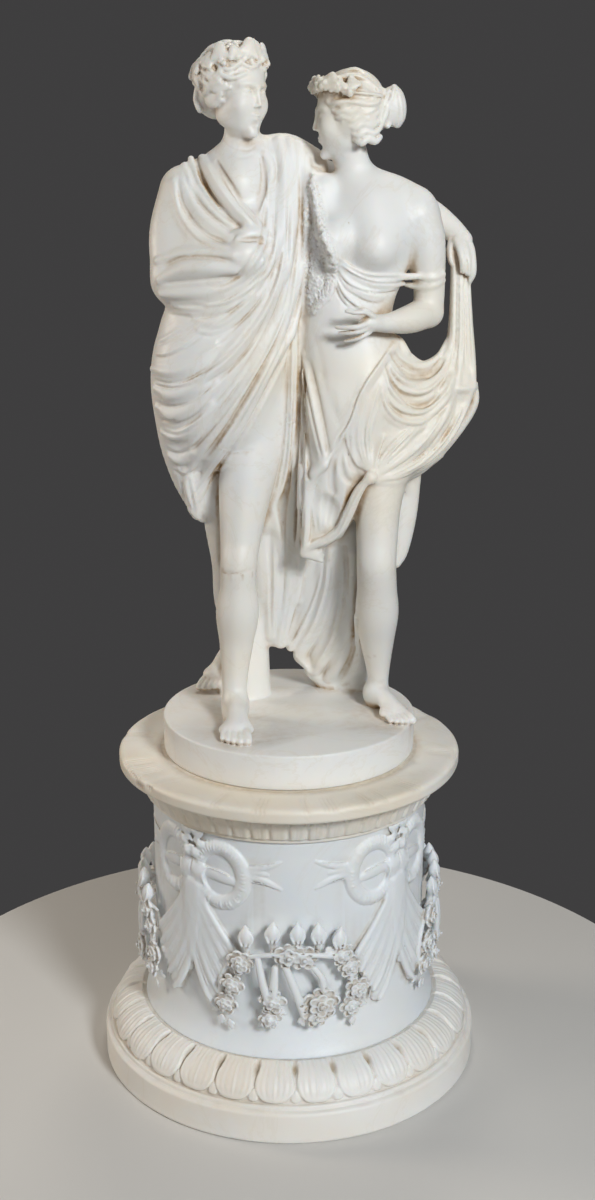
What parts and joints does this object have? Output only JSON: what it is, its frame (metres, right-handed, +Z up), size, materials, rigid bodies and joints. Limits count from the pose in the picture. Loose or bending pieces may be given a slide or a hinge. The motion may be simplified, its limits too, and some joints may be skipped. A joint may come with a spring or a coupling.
{
  "type": "alabaster sculpture group on a pedestal",
  "caption": "Carved alabaster group of a cloaked youth and a draped woman on a round base, standing on a turned pedestal with garlands, bows and leaf bands.",
  "frame": {"origin": "centre of the pedestal's underside", "axes": "+Z up, -Y is the front of the figures, +X to the viewer's right"},
  "size_m": [0.54, 0.54, 1.4007],
  "materials": {
    "alabaster_figure": "polished",
    "alabaster_cap": "polished",
    "alabaster_drum": "satin",
    "alabaster_foot": "satin"
  },
  "bodies": {
    "root": {"figure_group": "alabaster_figure", "pedestal_cap": "alabaster_cap", "pedestal_drum": "alabaster_drum", "pedestal_base": "alabaster_foot"}
  },
  "joints": []
}
